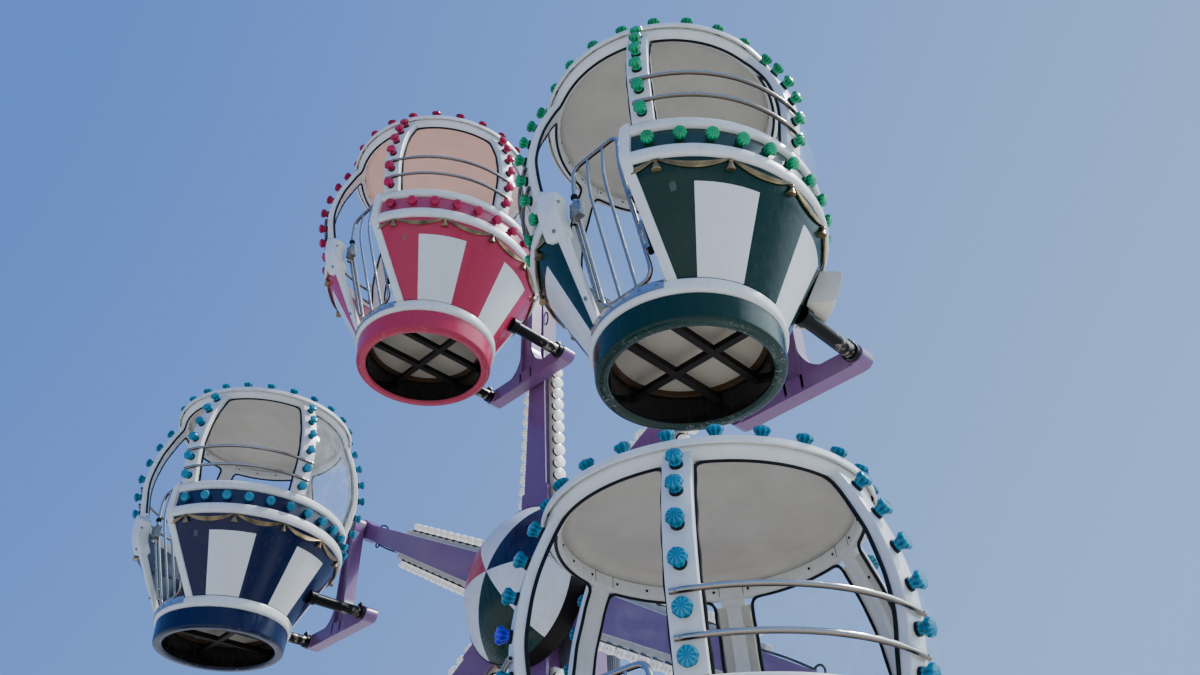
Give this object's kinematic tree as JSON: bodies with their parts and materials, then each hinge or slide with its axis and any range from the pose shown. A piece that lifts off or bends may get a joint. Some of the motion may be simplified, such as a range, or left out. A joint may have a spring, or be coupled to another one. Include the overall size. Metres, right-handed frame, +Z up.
{
  "type": "small ferris wheel",
  "caption": "Small one-sided ferris wheel: striped round cabins with ribs, domed roofs and barred gates hang level from tapered arms that turn on a braced mast.",
  "frame": {"origin": "on the ground under the hub, in the middle plane of the mast, on the underside of the middle base beam", "axes": "+Z up; the wheel turns about the Y direction; the cabins and their gates face -Y; +X to the right seen from the front"},
  "size_m": [5.6458, 3.4899, 6.918],
  "materials": {
    "purple_paint": "gloss, weathered",
    "grey_paint": "satin",
    "white_gelcoat": "gelcoat, slightly chalked",
    "green_gelcoat": "gloss gelcoat",
    "pink_gelcoat": "gloss gelcoat",
    "navy_gelcoat": "gloss gelcoat",
    "chrome_tube": "polished steel tube",
    "clear_plastic": "clear"
  },
  "bodies": {
    "base": {"base_beam_front": "purple_paint", "base_beam_middle": "purple_paint", "base_beam_rear": "purple_paint", "base_spine": "purple_paint", "mast": "purple_paint", "brace_right": "purple_paint", "brace_left": "purple_paint", "brace_rear": "purple_paint", "drive": "grey_paint"},
    "wheel": {"arm_1": "purple_paint", "arm_2": "purple_paint", "arm_3": "purple_paint", "arm_4": "purple_paint", "arm_5": "purple_paint", "arm_6": "purple_paint", "hub_core": "grey_paint", "hub_dome": "white_gelcoat"},
    "cabin_1": {"cabin_1_hanger": "purple_paint", "cabin_1_tub": "green_gelcoat", "cabin_1_right_frame": "white_gelcoat", "cabin_1_left_frame": "white_gelcoat", "cabin_1_rear_windows": "clear_plastic", "cabin_1_roof": "white_gelcoat"},
    "gate_1": {"cabin_1_gate": "chrome_tube"},
    "cabin_2": {"cabin_2_hanger": "purple_paint", "cabin_2_tub": "pink_gelcoat", "cabin_2_right_frame": "white_gelcoat", "cabin_2_left_frame": "white_gelcoat", "cabin_2_rear_windows": "clear_plastic", "cabin_2_roof": "white_gelcoat"},
    "gate_2": {"cabin_2_gate": "chrome_tube"},
    "cabin_3": {"cabin_3_hanger": "purple_paint", "cabin_3_tub": "navy_gelcoat", "cabin_3_right_frame": "white_gelcoat", "cabin_3_left_frame": "white_gelcoat", "cabin_3_rear_windows": "clear_plastic", "cabin_3_roof": "white_gelcoat"},
    "gate_3": {"cabin_3_gate": "chrome_tube"},
    "cabin_4": {"cabin_4_hanger": "purple_paint", "cabin_4_tub": "green_gelcoat", "cabin_4_right_frame": "white_gelcoat", "cabin_4_left_frame": "white_gelcoat", "cabin_4_rear_windows": "clear_plastic", "cabin_4_roof": "white_gelcoat"},
    "gate_4": {"cabin_4_gate": "chrome_tube"},
    "cabin_5": {"cabin_5_hanger": "purple_paint", "cabin_5_tub": "pink_gelcoat", "cabin_5_right_frame": "white_gelcoat", "cabin_5_left_frame": "white_gelcoat", "cabin_5_rear_windows": "clear_plastic", "cabin_5_roof": "white_gelcoat"},
    "gate_5": {"cabin_5_gate": "chrome_tube"},
    "cabin_6": {"cabin_6_hanger": "purple_paint", "cabin_6_tub": "navy_gelcoat", "cabin_6_right_frame": "white_gelcoat", "cabin_6_left_frame": "white_gelcoat", "cabin_6_rear_windows": "clear_plastic", "cabin_6_roof": "white_gelcoat"},
    "gate_6": {"cabin_6_gate": "chrome_tube"}
  },
  "joints": [
    {"name": "wheel_spin", "type": "hinge", "parent": "base", "child": "wheel", "pos_m": [0, -0.32, 3.95], "axis": [0, -1, 0], "continuous": true},
    {"name": "cabin_1_level", "type": "hinge", "parent": "wheel", "child": "cabin_1", "pos_m": [2.0646, -0.32, 5.142], "axis": [0, -1, 0], "continuous": true},
    {"name": "gate_1_hinge", "type": "hinge", "parent": "cabin_1", "child": "gate_1", "pos_m": [2.26261, -1.72925, 4.341], "axis": [0, -0.3019, 0.9533], "range_deg": [0, 85]},
    {"name": "cabin_2_level", "type": "hinge", "parent": "wheel", "child": "cabin_2", "pos_m": [0, -0.32, 6.334], "axis": [0, -1, 0], "continuous": true},
    {"name": "gate_2_hinge", "type": "hinge", "parent": "cabin_2", "child": "gate_2", "pos_m": [0.198, -1.72925, 5.533], "axis": [0, -0.3019, 0.9533], "range_deg": [0, 85]},
    {"name": "cabin_3_level", "type": "hinge", "parent": "wheel", "child": "cabin_3", "pos_m": [-2.0646, -0.32, 5.142], "axis": [0, -1, 0], "continuous": true},
    {"name": "gate_3_hinge", "type": "hinge", "parent": "cabin_3", "child": "gate_3", "pos_m": [-1.86661, -1.72925, 4.341], "axis": [0, -0.3019, 0.9533], "range_deg": [0, 85]},
    {"name": "cabin_4_level", "type": "hinge", "parent": "wheel", "child": "cabin_4", "pos_m": [-2.0646, -0.32, 2.758], "axis": [0, -1, 0], "continuous": true},
    {"name": "gate_4_hinge", "type": "hinge", "parent": "cabin_4", "child": "gate_4", "pos_m": [-1.86661, -1.72925, 1.957], "axis": [0, -0.3019, 0.9533], "range_deg": [0, 85]},
    {"name": "cabin_5_level", "type": "hinge", "parent": "wheel", "child": "cabin_5", "pos_m": [0, -0.32, 1.566], "axis": [0, -1, 0], "continuous": true},
    {"name": "gate_5_hinge", "type": "hinge", "parent": "cabin_5", "child": "gate_5", "pos_m": [0.198, -1.72925, 0.765], "axis": [0, -0.3019, 0.9533], "range_deg": [0, 85]},
    {"name": "cabin_6_level", "type": "hinge", "parent": "wheel", "child": "cabin_6", "pos_m": [2.0646, -0.32, 2.758], "axis": [0, -1, 0], "continuous": true},
    {"name": "gate_6_hinge", "type": "hinge", "parent": "cabin_6", "child": "gate_6", "pos_m": [2.26261, -1.72925, 1.957], "axis": [0, -0.3019, 0.9533], "range_deg": [0, 85]}
  ],
  "couplings": [
    {"joint": "cabin_1_level", "follows": "wheel_spin", "ratio": -1},
    {"joint": "cabin_2_level", "follows": "wheel_spin", "ratio": -1},
    {"joint": "cabin_3_level", "follows": "wheel_spin", "ratio": -1},
    {"joint": "cabin_4_level", "follows": "wheel_spin", "ratio": -1},
    {"joint": "cabin_5_level", "follows": "wheel_spin", "ratio": -1},
    {"joint": "cabin_6_level", "follows": "wheel_spin", "ratio": -1}
  ]
}
